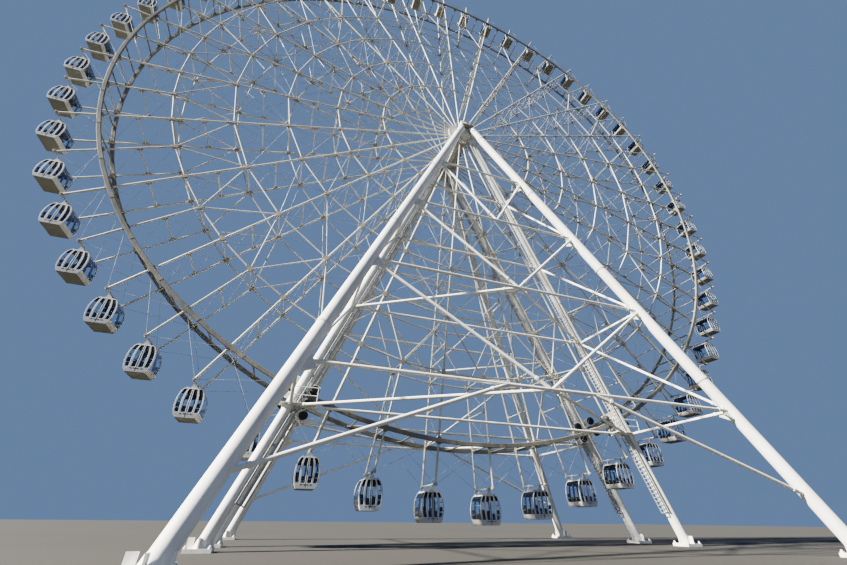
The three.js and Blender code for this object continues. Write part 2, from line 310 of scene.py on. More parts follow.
def joined(name, parts):
    """Makes one piece of several."""
    select_only(parts[0])
    for part in parts:
        part.select_set(True)
    bpy.ops.object.join()
    parts[0].name = name
    parts[0].data.name = name
    return parts[0]


def copy_of(piece, name):
    """A copy of a piece, with a mesh of its own."""
    select_only(piece)
    bpy.ops.object.duplicate(linked=False)
    copy = bpy.context.active_object
    copy.name = name
    copy.data.name = name
    return copy


def mirrored(piece, name):
    """A copy of a piece on the other side of the wheel's middle, turned the right side out."""
    copy = copy_of(piece, name)
    bpy.ops.object.mode_set(mode="EDIT")
    bpy.ops.mesh.select_all(action="SELECT")
    bpy.ops.transform.resize(value=(1, -1, 1), center_override=(0, 0, 0))
    bpy.ops.mesh.normals_make_consistent(inside=False)
    bpy.ops.object.mode_set(mode="OBJECT")
    return copy


def around_the_wheel(count=RADIALS // 2):
    """Repeats all that is in edit mode evenly about the axle."""
    turn = math.tau * (count - 1) / count
    bpy.ops.mesh.select_all(action="SELECT")
    bpy.ops.mesh.spin(steps=count - 1, dupli=True, angle=turn, center=HUB, axis=AXLE)


def turned(start, end, profile, sides):
    """A solid turned about the line from start to end: PROFILE lists (distance along, radius)."""
    along = (end - start).normalized()
    turn = along.to_track_quat("Z", "Y").to_euler()
    at, radius = profile[0]
    bpy.ops.mesh.primitive_circle_add(
        vertices=sides, radius=radius, fill_type="NGON", location=start + along * at, rotation=turn
    )
    for next_at, next_radius in profile[1:]:
        bpy.ops.mesh.extrude_region_move(TRANSFORM_OT_translate={"value": along * (next_at - at)})
        if next_radius != radius:
            size = next_radius / radius
            bpy.ops.transform.resize(value=(size, size, size), center_override=start + along * next_at)
        at, radius = next_at, next_radius


def tube(start, end, radius, sides=8, collars=(), swage=0.7):
    """A tube with narrower ends, and a collar at each distance in COLLARS, from the end if it is negative."""
    length = (end - start).length
    half = radius * COLLAR_HALF_LENGTH
    profile = [(0, radius * swage), (radius * END_LENGTH, radius)]
    for place in sorted(place if place > 0 else length + place for place in collars):
        collar = [(-half, 1), (-half, COLLAR), (half, COLLAR), (half, 1)]
        profile += [(place + shift, radius * size) for shift, size in collar]
    profile += [(length - radius * END_LENGTH, radius), (length, radius * swage)]
    turned(start, end, profile, sides)


def bar(start, end, radius, sides=6):
    """A plain round bar."""
    turned(start, end, [(0, radius), ((end - start).length, radius)], sides)


def rod(start, end, radius):
    """A thin tension rod with a turnbuckle a third of the way along."""
    length = (end - start).length
    middle = length / 3
    profile = [(0, radius), (middle - 6 * radius, radius), (middle - 4 * radius, 2 * radius)]
    profile += [(middle + 4 * radius, 2 * radius), (middle + 6 * radius, radius), (length, radius)]
    turned(start, end, profile, 4)


def outline(corners, centre, across, up, width, height):
    """A flat square or triangle, WIDTH times as long along ACROSS and HEIGHT times along UP."""
    axes = Matrix((across, up, across.cross(up).normalized())).transposed()
    place = {"location": centre, "rotation": axes.to_euler()}
    if corners == 4:
        bpy.ops.mesh.primitive_plane_add(size=1, **place)
    else:
        bpy.ops.mesh.primitive_circle_add(vertices=corners, radius=1, fill_type="NGON", **place)
    bpy.ops.transform.resize(
        value=(width, height, 1), orient_type="GLOBAL", orient_matrix=axes, orient_matrix_type="GLOBAL",
        center_override=centre,
    )


def block(centre, across, up, width, height, depth):
    """A plate WIDTH wide along ACROSS and HEIGHT high along UP, DEPTH thick about its centre."""
    thickness = across.cross(up).normalized() * depth
    outline(4, centre - thickness / 2, across, up, width, height)
    bpy.ops.mesh.extrude_region_move(TRANSFORM_OT_translate={"value": thickness})


def gusset(foot, along, toward, half_base, height, depth):
    """A triangular plate: its base lies along ALONG about the foot, its point is HEIGHT away."""
    thickness = along.cross(toward).normalized() * depth
    middle = foot + toward * height / 3 - thickness / 2
    outline(3, middle, along, toward, half_base / math.sin(math.pi / 3), height / 1.5)
    bpy.ops.mesh.extrude_region_move(TRANSFORM_OT_translate={"value": thickness})


def size_of(piece):
    """How many faces a piece has, for the reader."""
    return f"{piece.name}: {len(piece.data.polygons)} faces"


print("Helpers are ready")

# %% [markdown]
# One side of the wheel is a flat net of tubes, slightly dished. 27 main radials run from the hub to a cabin
# each. The other 27 arms are shorter: each ends at the second ring, in a V that spreads its load to the two
# radials beside it. Polygon rings tie the radials together. The pattern repeats every second radial, so one
# main radial, one arm and their share of the rings are modelled, and spin copies them around the axle.

# %% The lattice bars
RIM_RADIUS = 3.703
SECOND_RING, THIRD_RING, FOURTH_RING, FIFTH_RING, SIXTH_RING = 3.157, 2.626, 2.093, 1.549, 1.014
INNER_RINGS = [THIRD_RING, FOURTH_RING, FIFTH_RING, SIXTH_RING]
HUB_RING_RADIUS = 0.150
RADIAL_START = HUB_RING_RADIUS - 0.020
ARM_START = SECOND_RING - 0.020
ARM_END = TIP_RADIUS + 0.012
RADIAL_TUBE, ARM_TUBE, RING_TUBE, BRACE_TUBE = 0.0088, 0.0072, 0.0074, 0.0056  # radii
SLEEVE_REACH = 0.060  # collars sit this far to either side of a ring
ARM_COLLARS = [0.100]
RING_COLLARS = [0.045, -0.045]
BRACE_COLLARS = [0.050, -0.050]
SIDE_HALF_DEPTH = 0.0093  # rails and flanges lie this far from a side's middle

sleeves = []
for ring in (SECOND_RING, *INNER_RINGS):
    sleeves += [ring - RADIAL_START - SLEEVE_REACH, ring - RADIAL_START + SLEEVE_REACH]

front_bars = open_piece("lattice_bars")
tube(on_side(FRONT, 0, RADIAL_START), on_side(FRONT, 0, ARM_END), RADIAL_TUBE, collars=sleeves)
tube(on_side(FRONT, 1, ARM_START), on_side(FRONT, 1, ARM_END), ARM_TUBE, collars=ARM_COLLARS)
for n in (0, 1):
    ends = on_side(FRONT, n, SECOND_RING), on_side(FRONT, n + 1, SECOND_RING)
    tube(*ends, RING_TUBE, collars=RING_COLLARS)
for ring in INNER_RINGS:
    tube(on_side(FRONT, 0, ring), on_side(FRONT, 2, ring), RING_TUBE, collars=RING_COLLARS)
for n in (0, 2):
    ends = on_side(FRONT, 1, SECOND_RING), on_side(FRONT, n, THIRD_RING)
    tube(*ends, BRACE_TUBE, collars=BRACE_COLLARS)
around_the_wheel()
close_piece(front_bars, LATTICE_PAINT)
print(size_of(front_bars))

# %% [markdown]
# Where tubes meet, welded plates carry the load from one to the other. Their tan colour is painted shade,
# which sets them apart from the tubes and makes each node read as a joint, so a small plate lies over every
# ring node. The hub ring is a heavy flat ring that the radials are pinned to: its section is swept round the
# axle by spin, and the seam is merged afterwards. At the tip of each arm a small block and a round boss hold
# the end of a cabin's axle.

# %% Node plates and the hub ring
NODE_PLATE = (0.046, 0.0299, 2 * RADIAL_TUBE + 0.003)  # along the radial, across it and in depth
BEARING_BLOCK = (0.022, 0.0198, 0.016)
BEARING_BOSS = [(0.008, 0.010), (0.015, 0.010), (0.015, 0.006), (0.021, 0.006)]
HUB_RING_WIDTH = 0.040
HUB_RING_DEPTH = 0.016
RING_CHAMFER = 0.003


def swept_ring(radius, y, width, depth, steps):
    """A ring about the axle with a chamfered rectangular section."""
    outline(4, on_wheel(0, radius, y), outward(0), AXLE, width, depth)
    bpy.ops.mesh.bevel(offset=RING_CHAMFER, affect="VERTICES")
    bpy.ops.mesh.delete(type="ONLY_FACE")
    bpy.ops.mesh.select_mode(type="EDGE")
    section = bmesh.from_edit_mesh(bpy.context.active_object.data)
    for edge in section.edges:
        edge.select_set(edge.is_wire)
    bpy.ops.mesh.spin(steps=steps, angle=math.tau, center=HUB, axis=AXLE)
    bpy.ops.mesh.select_mode(type="VERT")
    bpy.ops.mesh.select_all(action="SELECT")
    bpy.ops.mesh.remove_doubles(threshold=1e-5)
    bpy.ops.mesh.normals_make_consistent(inside=False)
    bpy.ops.mesh.select_mode(type="FACE")


front_plates = open_piece("node_plates")
for n, ring in [(0, ring) for ring in (SECOND_RING, *INNER_RINGS)] + [(1, SECOND_RING)]:
    block(on_side(FRONT, n, ring), outward(n), tangent(n), *NODE_PLATE)
for n in (0, 1):
    centre = on_side(FRONT, n, TIP_RADIUS)
    block(centre, tangent(n), outward(n), *BEARING_BLOCK)
    turned(centre, centre + AXLE * FRONT, BEARING_BOSS, 10)
around_the_wheel()
close_piece(front_plates, TAN_SHADE_PAINT)

front_hub_ring = open_piece("hub_ring")
ring_y = FRONT * half_gap(HUB_RING_RADIUS)
swept_ring(HUB_RING_RADIUS, ring_y, HUB_RING_WIDTH, HUB_RING_DEPTH, RADIALS)
close_piece(front_hub_ring, LATTICE_PAINT)
print(size_of(front_plates), "and", size_of(front_hub_ring))

# %% [markdown]
# Thin rods keep the net from shearing: crossed rods fill the bays between the third and sixth rings, and
# long fine cables cross the open outer bays from each tip to the rim of its neighbours. They are only a few
# millimetres thick at this scale, so four sides are enough, with a turnbuckle on each to tighten it. The
# front side is then complete, and the rear one is its mirror image.

# %% Rods in the plane of a side
CELL_ROD = 0.0017
TIP_CABLE = 0.0011

front_rods = open_piece("side_rods")
for outer, inner in zip(INNER_RINGS, INNER_RINGS[1:]):
    for n, other in ((0, 2), (2, 0)):
        rod(on_side(FRONT, n, outer), on_side(FRONT, other, inner), CELL_ROD)
for n in (0, 1):
    for other in (n - 1, n + 1):
        rod(on_side(FRONT, n, TIP_RADIUS), on_side(FRONT, other, RIM_RADIUS), TIP_CABLE)
around_the_wheel()
close_piece(front_rods, ROD_ZINC)

front_lattice = joined("front_lattice", [front_bars, front_plates, front_hub_ring, front_rods])
rear_lattice = mirrored(front_lattice, "rear_lattice")
for lattice, node in ((front_lattice, "front_wheel_frame"), (rear_lattice, "rear_wheel_frame")):
    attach(lattice, "wheel")
    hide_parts(node)
    print(size_of(lattice))

# %% [markdown]
# The two sides are held apart by ladders of cross struts. Each strut is a slim tube whose ends sit in
# triangular gussets painted dark brown as painted shade, and crossed rods brace each panel of the ladder. The
# outer part of the ladder is on every arm, the inner part only on the main radials. One ladder of each kind
# is modelled and spun round.

# %% Cross struts and their rods
OUTER_LADDER = [RIM_RADIUS, 3.430, SECOND_RING]
INNER_LADDER = [2.890, THIRD_RING, 2.360, FOURTH_RING, 1.820, FIFTH_RING, 1.280, SIXTH_RING]
RUNGS = [(0, radius) for radius in OUTER_LADDER + INNER_LADDER] + [(1, radius) for radius in OUTER_LADDER]
STRUT_TUBE = 0.0056
STRUT_GUSSET = (0.030, 0.034, 0.005)  # half its base, its height and its depth
GUSSET_FOOT = RADIAL_TUBE * 0.7  # from a side's middle
LADDER_ROD = 0.0011

struts = open_piece("cross_struts")
for n, radius in RUNGS:
    tube(on_side(FRONT, n, radius), on_side(REAR, n, radius), STRUT_TUBE, sides=6, collars=RING_COLLARS)
around_the_wheel()
close_piece(struts, LATTICE_PAINT)

gussets = open_piece("strut_gussets")
for n, radius in RUNGS:
    for side in (FRONT, REAR):
        foot = on_side(side, n, radius) - AXLE * side * GUSSET_FOOT
        gusset(foot, outward(n), -AXLE * side, *STRUT_GUSSET)
around_the_wheel()
close_piece(gussets, DARK_SHADE_PAINT)

rods = open_piece("ladder_rods")
for (n, radius), (following, next_radius) in zip(RUNGS, RUNGS[1:]):
    if following == n:
        for side in (FRONT, REAR):
            rod(on_side(side, n, radius), on_side(-side, n, next_radius), LADDER_ROD)
around_the_wheel()
close_piece(rods, ROD_ZINC)

cross_bracing = joined("cross_bracing", [struts, gussets, rods])
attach(cross_bracing, "wheel")
print(size_of(cross_bracing))

# %% [markdown]
# The drive rim is a pair of rails, bent to a circle and bolted to the outer faces of the arms. Rubber tyres
# on the supports turn the wheel by them, and the rails are painted a dark brownish grey. Each rail is one
# swept ring. Clamps hold it to every arm, splice plates join its lengths, and a cross strut with gussets ties
# the two rails in the middle of every bay. The clamps, splices and gussets are dark brown, which is painted
# shade.

# %% The drive rim
RAIL_WIDTH = 0.032
RAIL_DEPTH = 0.020
RAIL_INNER_Y = half_gap(RIM_RADIUS - RAIL_WIDTH / 2) + SIDE_HALF_DEPTH
RAIL_Y = RAIL_INNER_Y + RAIL_DEPTH / 2
OVERLAP = 0.002  # between a rail and what is fixed to it
CLAMP = (0.0108, 0.030, 0.016)  # away from the hub, along the rail and in depth
CLAMP_SHIFT = RAIL_WIDTH / 2 + 0.0045
SPLICE = (0.050, 0.030, 0.002)
BAY_MIDDLES = (0.5, 1.5)
RAIL_STRUT_TUBE = STRUT_TUBE * 1.15
RAIL_STRUT_END = RAIL_Y - RAIL_DEPTH * 0.4
RAIL_GUSSET = (0.034, 0.038, 0.005)

rails = open_piece("rails")
for side in (FRONT, REAR):
    swept_ring(RIM_RADIUS, side * RAIL_Y, RAIL_WIDTH, RAIL_DEPTH, 2 * RADIALS)
close_piece(rails, RAIL_PAINT, smooth_up_to=math.radians(20))

fittings = open_piece("rail_fittings")
for n in (0, 1):
    for side in (FRONT, REAR):
        for edge in (-1, 1):
            centre = on_wheel(n, RIM_RADIUS + edge * CLAMP_SHIFT, side * (RAIL_INNER_Y - OVERLAP))
            block(centre, outward(n), tangent(n), *CLAMP)
        centre = on_wheel(n + 0.25, RIM_RADIUS, side * (RAIL_Y + RAIL_DEPTH / 2))
        block(centre, tangent(n + 0.25), outward(n + 0.25), *SPLICE)
around_the_wheel()
close_piece(fittings, DARK_SHADE_PAINT)

struts = open_piece("rail_struts")
for n in BAY_MIDDLES:
    ends = on_wheel(n, RIM_RADIUS, -RAIL_STRUT_END), on_wheel(n, RIM_RADIUS, RAIL_STRUT_END)
    tube(*ends, RAIL_STRUT_TUBE, sides=6, collars=BRACE_COLLARS)
around_the_wheel()
close_piece(struts, RAIL_PAINT)

gussets = open_piece("rail_gussets")
for n in BAY_MIDDLES:
    for side in (FRONT, REAR):
        foot = on_wheel(n, RIM_RADIUS, side * (RAIL_INNER_Y + OVERLAP))
        gusset(foot, tangent(n), -AXLE * side, *RAIL_GUSSET)
around_the_wheel()
close_piece(gussets, DARK_SHADE_PAINT)

drive_rails = joined("drive_rails", [rails, fittings, struts, gussets])
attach(drive_rails, "wheel")
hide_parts("drive_rim")
print(size_of(drive_rails))

# %% [markdown]
# The hub is a steel drum on a thick shaft. All 54 radials of both sides end on it, between a flange and the
# drum. It is turned about the axle like a chair leg, from one end of the shaft to the other. Ribs stiffen
# the drum, and each flange has a circle of bolts.

# %% The hub
SHAFT_RADIUS = 0.045
SHAFT_END = 0.411
DRUM_RADIUS = 0.118
FLANGE_RADIUS = 0.165
FLANGE_Y = half_gap(HUB_RING_RADIUS - HUB_RING_WIDTH / 2) + SIDE_HALF_DEPTH
FLANGE_FACE = FLANGE_Y + 0.014
DRUM_RIBS = 18
DRUM_RIB = (2 * FLANGE_Y - 0.05, 0.030, 0.006)
BOLT_CIRCLE = FLANGE_RADIUS - 0.013
FLANGE_BOLT = [(0, 0.0065), (0.0045, 0.0065), (0.0055, 0.0055), (0.0055, 0.003), (0.008, 0.003)]
HUB_SIDES = 48


def mirrored_profile(half):
    """A profile about the middle from its outer half, given as (distance from the middle, radius)."""
    return [(-at, radius) for at, radius in reversed(half)] + list(half)


drum = open_piece("drum")
half = [(0.060, DRUM_RADIUS), (0.060, DRUM_RADIUS + 0.006), (0.085, DRUM_RADIUS + 0.006)]
half += [(0.085, DRUM_RADIUS), (FLANGE_Y, DRUM_RADIUS), (FLANGE_Y, FLANGE_RADIUS)]
half += [(FLANGE_FACE, FLANGE_RADIUS), (FLANGE_FACE, 0.085), (FLANGE_Y + 0.035, 0.060)]
half += [(FLANGE_Y + 0.050, 0.056), (FLANGE_Y + 0.050, SHAFT_RADIUS)]
half += [(SHAFT_END - 0.004, SHAFT_RADIUS), (SHAFT_END, SHAFT_RADIUS - 0.004)]
turned(HUB, HUB + AXLE, mirrored_profile(half), HUB_SIDES)
close_piece(drum, HUB_PAINT)

ribs = open_piece("drum_ribs")
block(on_wheel(0, DRUM_RADIUS), AXLE, outward(0), *DRUM_RIB)
around_the_wheel(DRUM_RIBS)
close_piece(ribs, HUB_PAINT)

bolts = open_piece("flange_bolts")
for side in (FRONT, REAR):
    foot = on_wheel(0.5, BOLT_CIRCLE, side * FLANGE_FACE)
    turned(foot, foot + AXLE * side, FLANGE_BOLT, 6)
around_the_wheel()
close_piece(bolts, ROD_ZINC)

wheel_hub = joined("wheel_hub", [drum, ribs, bolts])
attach(wheel_hub, "wheel")
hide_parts("hub")
print(size_of(wheel_hub))

# %% [markdown]
# Each support is a tall pyramid on one side of the wheel. Two thick outer legs splay out from the bearing
# to the ground and carry most of the load. They are made of lengths bolted together with ring flanges, and
# end in a point. Two thinner inner legs stand close beside the wheel. Their places are the same named
# values as in the frame: each leg runs straight from its foot to its top, given for the right-hand leg of
# the rear support.

# %% The legs
OUTER_LEG = {
    "foot": Vector((1.781, 1.390, 0)),
    "top": Vector((0.043, 0.411, HUB.z - 0.060)),
    "radius": 0.0405,
    "ties": [0.822, 1.632, 2.440, 3.240],
    "flanges": [1.050, 2.070, 3.070, 4.050, 4.205],
    "point": (0.100, 0.40),  # its length, and its end's part of the radius
}
INNER_LEG = {
    "foot": Vector((1.784, 0.249, 0)),
    "top": Vector((0.043, 0.326, HUB.z - 0.060)),
    "radius": 0.0375,
    "ties": [0.822, 1.640, 2.440, 3.246],
    "flanges": [1.050, 2.050, 3.050, 4.060],
    "point": (0.040, 0.80),
}
LEFT, RIGHT = -1, 1
LEGS = [(leg, hand) for leg in (OUTER_LEG, INNER_LEG) for hand in (LEFT, RIGHT)]
LEG_SIDES = 32
LEG_OVERLENGTH = 0.035
LEG_BOTTOM = 0.002  # where the overlength is cut off level
SHOE = 1.08  # part of the leg's radius, as in FLANGE_RINGS
FLANGE_RINGS = mirrored_profile([(0.001, 1.02), (0.001, 1.09), (0.007, 1.09), (0.007, 1)])


def on_leg(leg, hand, z):
    """The point of a rear leg's centre line at height z, on the left or the right."""
    point = leg["foot"].lerp(leg["top"], z / leg["top"].z)
    return Vector((hand * point.x, point.y, point.z))


def leg_profile(leg):
    """Distance and radius along a leg from the ground: two rings at each flange, and a point at the top."""
    slope = (leg["top"] - leg["foot"]).length / leg["top"].z
    radius = leg["radius"]
    profile = [(-LEG_OVERLENGTH, radius * SHOE), (0.05, radius * SHOE), (0.06, radius)]
    for z in leg["flanges"]:
        profile += [(z * slope + shift, radius * size) for shift, size in FLANGE_RINGS]
    length = leg["top"].z * slope
    reach, part = leg["point"]
    return profile + [(length - reach, radius), (length, radius * part)]


legs = open_piece("legs")
for leg, hand in LEGS:
    turned(on_leg(leg, hand, 0), on_leg(leg, hand, leg["top"].z), leg_profile(leg), LEG_SIDES)
bpy.ops.mesh.select_all(action="SELECT")
bpy.ops.mesh.bisect(plane_co=(0, 0, LEG_BOTTOM), plane_no=(0, 0, 1), clear_inner=True, use_fill=True)
close_piece(legs, WHITE_PAINT)
print(size_of(legs))

# %% [markdown]
# Level ties join the legs at four heights, and sloping tubes brace the faces of the pyramid. All are the
# same slim tube with bolted collars near its ends, so a tie is one call with two points on the legs. The
# tube ends inside the legs it joins, where nobody sees it. On the outer legs a triangular plate stiffens
# each joint.

# %% Ties and braces
TIE_TUBE = 0.0105
TIE_COLLARS = [0.110, -0.110]
TIE_PLATE = (0.095, 0.095, 0.010)  # half its base, its height and its depth
BRACED_LEVELS = [0, 1]
LOW_BRACE_FOOT = 0.300
LOW_BRACE_INSET = 0.300


def tie(start, end):
    """A tie between two legs or ties, with bolted collars clear of both."""
    tube(start, end, TIE_TUBE, sides=12, collars=TIE_COLLARS, swage=0.8)


def tie_plate(joint, hand, toward):
    """A triangular plate from an outer leg out along a tie."""
    along = (on_leg(OUTER_LEG, hand, OUTER_LEG["top"].z) - on_leg(OUTER_LEG, hand, 0)).normalized()
    out = toward - joint
    gusset(joint, along, (out - along * out.dot(along)).normalized(), *TIE_PLATE)


def outer_middle(level, x=0.0):
    """The middle of an outer tie, or a point beside it."""
    point = on_leg(OUTER_LEG, RIGHT, OUTER_LEG["ties"][level])
    return Vector((x, point.y, point.z))


ties = open_piece("ties")
for leg in (OUTER_LEG, INNER_LEG):
    for z in leg["ties"]:
        tie(on_leg(leg, LEFT, z), on_leg(leg, RIGHT, z))
for hand in (LEFT, RIGHT):
    for level, (outer_z, inner_z) in enumerate(zip(OUTER_LEG["ties"], INNER_LEG["ties"])):
        outer, inner = on_leg(OUTER_LEG, hand, outer_z), on_leg(INNER_LEG, hand, inner_z)
        tie(outer, inner)
        tie_plate(outer, hand, inner)
        tie_plate(outer, hand, outer_middle(level))
        if level > 0:
            tie(outer, outer_middle(level - 1))
            tie(inner, on_leg(OUTER_LEG, hand, OUTER_LEG["ties"][level - 1]))
        if level in BRACED_LEVELS:
            tie(outer_middle(level), inner)
    tie(on_leg(OUTER_LEG, hand, LOW_BRACE_FOOT), outer_middle(0, hand * LOW_BRACE_INSET))
close_piece(ties, WHITE_PAINT)
print(size_of(ties))

# %% [markdown]
# The bearing housing sits where the legs meet. It is a thick plate with bevelled edges and a real bore for
# the shaft, which a Boolean modifier cuts, and a round cover on each face. A ribbed cap plate, painted dark
# as painted shade, closes the tops of the outer legs. Wide foot plates with stiffening fins spread each leg's
# load on the ground.

# %% The bearing housing and the feet
HOUSING_SIZE = Vector((0.136, 0.090, 0.260))
HOUSING_MIDDLE = Vector((0, 0.360, HUB.z - 0.070))
CAP_SIZE = Vector((0.150, 0.094, 0.018))
CAP_MIDDLE = Vector((0, 0.409, HUB.z - 0.067))
CAP_RIB_HEIGHT = 0.020
BORE_RADIUS = SHAFT_RADIUS + 0.003
FOOT_WIDTH = 3.85  # times the leg's radius, as the next three are
FIN_PLACE, FIN_WIDTH = 1.35, 0.9
BOLT_PLACE = 0.42 * FOOT_WIDTH
FOOT_THICKNESS = 0.020
FIN_HEIGHT, FIN_DEPTH = 0.050, 0.008
FOOT_BOLT = [(0, 0.011), (0.008, 0.011), (0.008, 0.006), (0.016, 0.006)]


def apply_modifier(piece, kind, **settings):
    """Adds a modifier, sets it up and applies it."""
    bpy.context.view_layer.objects.active = piece
    bpy.ops.object.modifier_add(type=kind)
    modifier = piece.modifiers[-1]
    for name, value in settings.items():
        setattr(modifier, name, value)
    bpy.ops.object.modifier_apply(modifier=modifier.name)


bore = open_piece("bore")
turned(HUB, HUB + AXLE, [(0.2, BORE_RADIUS), (0.6, BORE_RADIUS)], HUB_SIDES)
close_piece(bore, HUB_PAINT)

housing = open_piece("housing")
block(HOUSING_MIDDLE, X, Z, HOUSING_SIZE.x, HOUSING_SIZE.z, HOUSING_SIZE.y)
bpy.ops.mesh.select_all(action="SELECT")
bpy.ops.mesh.bevel(offset=0.012, segments=2, affect="EDGES")
far_face = HOUSING_MIDDLE.y + HOUSING_SIZE.y / 2
near_face = HOUSING_MIDDLE.y - HOUSING_SIZE.y / 2
turned(HUB, HUB + AXLE, [(far_face - 0.004, 0.058), (far_face + 0.004, 0.055)], HUB_SIDES)
turned(HUB, HUB + AXLE, [(near_face + 0.004, 0.058), (near_face - 0.006, 0.052)], HUB_SIDES)
close_piece(housing, HUB_PAINT)
apply_modifier(housing, "BOOLEAN", operation="DIFFERENCE", solver="EXACT", object=bore, use_self=True)
bpy.data.objects.remove(bore)

feet = open_piece("feet")
for leg, hand in LEGS:
    foot, radius = on_leg(leg, hand, 0), leg["radius"]
    width = radius * FOOT_WIDTH
    block(foot + Z * FOOT_THICKNESS / 2, X, Y, width, width, FOOT_THICKNESS)
    for along in (X, Y):
        for way in (-1, 1):
            fin = foot + along * way * radius * FIN_PLACE + Z * (FOOT_THICKNESS + FIN_HEIGHT / 2)
            block(fin, along, Z, radius * FIN_WIDTH, FIN_HEIGHT, FIN_DEPTH)
    for x in (-1, 1):
        for y in (-1, 1):
            bolt = foot + (X * x + Y * y) * radius * BOLT_PLACE + Z * FOOT_THICKNESS
            turned(bolt, bolt + Z, FOOT_BOLT, 6)
close_piece(feet, WHITE_PAINT)

cap = open_piece("cap")
block(CAP_MIDDLE, X, Y, *CAP_SIZE)
bpy.ops.mesh.select_all(action="SELECT")
bpy.ops.mesh.bevel(offset=0.004, segments=1, affect="EDGES")
for x in (-0.045, 0, 0.045):
    rib = CAP_MIDDLE + X * x + Z * (CAP_SIZE.z + CAP_RIB_HEIGHT) / 2
    block(rib, Y, Z, CAP_SIZE.y * 0.7, CAP_RIB_HEIGHT, 0.008)
close_piece(cap, DARK_SHADE_PAINT)
print(size_of(housing), "and", size_of(feet))

# %% [markdown]
# A ladder climbs the side of each inner leg that faces the other one, with a cable conduit beside it. The
# rungs are a foot apart on the real wheel, so there are about 150 on each leg: each is only a six-sided
# rod. They are made as one rung that the Array modifier repeats along the leg.

# %% Ladders and conduits
LADDER_START = 0.25
LADDER_END = INNER_LEG["top"].z - 0.12
LADDER_OFFSET, CONDUIT_OFFSET = 0.062, 0.036  # from the leg's centre line
LADDER_HALF_WIDTH = 0.020
RUNG_SPACING = 0.030
RUNGS_PER_BRACKET = 12
RUNG, STILE, BRACKET, CONDUIT = 0.0028, 0.0045, 0.004, 0.006  # radii


def model_ladder(hand):
    foot, top = on_leg(INNER_LEG, hand, LADDER_START), on_leg(INNER_LEG, hand, LADDER_END)
    along = (top - foot).normalized()
    offset = along.cross(Y) * hand * LADDER_OFFSET
    away = offset.normalized()
    start, end = foot + offset, top + offset
    length = (end - start).length
    half = Y * LADDER_HALF_WIDTH

    rungs = open_piece("rungs")
    bar(start - half, start + half, RUNG)
    close_piece(rungs, ROD_ZINC)
    count = int(length / RUNG_SPACING)
    step = along * RUNG_SPACING
    apply_modifier(
        rungs, "ARRAY", count=count, use_relative_offset=False, use_constant_offset=True,
        constant_offset_displace=step,
    )

    rails = open_piece("rails")
    for way in (-1, 1):
        bar(start + half * way, end + half * way, STILE)
    for rung in range(0, count, RUNGS_PER_BRACKET):
        place = start + step * rung
        for way in (-1, 1):
            edge = half * way
            turned(place + edge, place + edge * 0.4 - away, [(0, BRACKET), (0.034, BRACKET)], 6)
    conduit = start - away * (LADDER_OFFSET - CONDUIT_OFFSET) + Y * 0.030
    turned(conduit, conduit + along, [(0, CONDUIT), (length * 0.98, CONDUIT)], 8)
    close_piece(rails, ROD_ZINC)
    return [rungs, rails]


ladders = model_ladder(LEFT) + model_ladder(RIGHT)
print("Ladders:", sum(len(part.data.polygons) for part in ladders), "faces")

# %% [markdown]
# The wheel is driven where the rim passes the inner legs. A plate between each leg and the rail carries
# four rubber tyres, two on either side of the leg, one above and one below the rail, each with its motor. A
# small deck under them serves for repairs. The tyres nearly touch the rail, and nothing may reach into the
# plane of the turning arms, which fixes how far in they sit.

# %% The drive units
TYRE_RADIUS = 0.036
TYRE_WIDTH = 0.022
TYRE_CLEARANCE = 0.004
TYRE_SPREAD = 0.092  # along the rail, to either side of the leg
TYRE_SHIFT = 0.004  # away from the wheel
TREAD = [(0, 0.024), (0.001, 0.031), (0.005, TYRE_RADIUS), (TYRE_WIDTH - 0.005, TYRE_RADIUS)]
TREAD += [(TYRE_WIDTH - 0.001, 0.031), (TYRE_WIDTH, 0.024)]
MOTOR = [(-0.002, 0.020), (0.006, 0.020), (0.006, 0.028), (0.018, 0.028), (0.018, 0.022)]
MOTOR += [(0.038, 0.022), (0.044, 0.017)]
PLATE_Y = RAIL_Y + TYRE_WIDTH / 2 + 0.016
TYRE_PLATE = (0.052, 2 * TYRE_SPREAD + 0.060, 0.008)  # away from the hub, along the rail and in depth
MIDDLE_PLATE = (0.130, 0.056, 0.008)
PLATE_SHIFT, ARM_SHIFT = 0.062, 0.040  # from the rail's middle, to either side of it
DECK = (0.250, 0.110, 0.005)
DECK_DROP, DECK_SHIFT = 0.115, 0.010  # from the leg's centre line
RAILING_X, RAILING_Y, RAILING_HEIGHT = 0.122, 0.052, 0.110
KNEE_X, KNEE_DROP = 0.100, 0.220
RAILING, KNEE = 0.0028, 0.005  # radii


def rail_beside_leg():
    """Where the drive rail passes an inner leg: its distance across and its height."""
    z = LADDER_START
    while on_leg(INNER_LEG, RIGHT, z).x ** 2 + (z - HUB.z) ** 2 > RIM_RADIUS**2:
        z += 0.001
    return on_leg(INNER_LEG, RIGHT, z).x, z


UNIT_X, UNIT_Z = rail_beside_leg()
print("The rail passes the inner legs at", round(UNIT_X, 3), round(UNIT_Z, 3))


def unit_directions(hand):
    """Away from the hub and along the rail at a drive unit."""
    out = Vector((hand * UNIT_X, 0, UNIT_Z - HUB.z)).normalized()
    return out, out.cross(Y)


def tyre_places():
    """The middles of a support's tyres, in the plane of the rail's middle."""
    for hand in (LEFT, RIGHT):
        out, along = unit_directions(hand)
        for edge in (-1, 1):
            for way in (-1, 1):
                reach = RIM_RADIUS + edge * (RAIL_WIDTH / 2 + TYRE_CLEARANCE + TYRE_RADIUS)
                turned_out = (out * RIM_RADIUS + along * way * TYRE_SPREAD).normalized()
                yield HUB + turned_out * reach + Y * RAIL_Y


tyres = open_piece("tyres")
for place in tyre_places():
    inner_face = place + Y * (TYRE_SHIFT - TYRE_WIDTH / 2)
    turned(inner_face, inner_face + Y, TREAD, 24)
close_piece(tyres, RUBBER)

motors = open_piece("motors")
for place in tyre_places():
    outer_face = place + Y * (TYRE_SHIFT + TYRE_WIDTH / 2)
    turned(outer_face, outer_face + Y, MOTOR, 16)
close_piece(motors, DARK_PAINT)

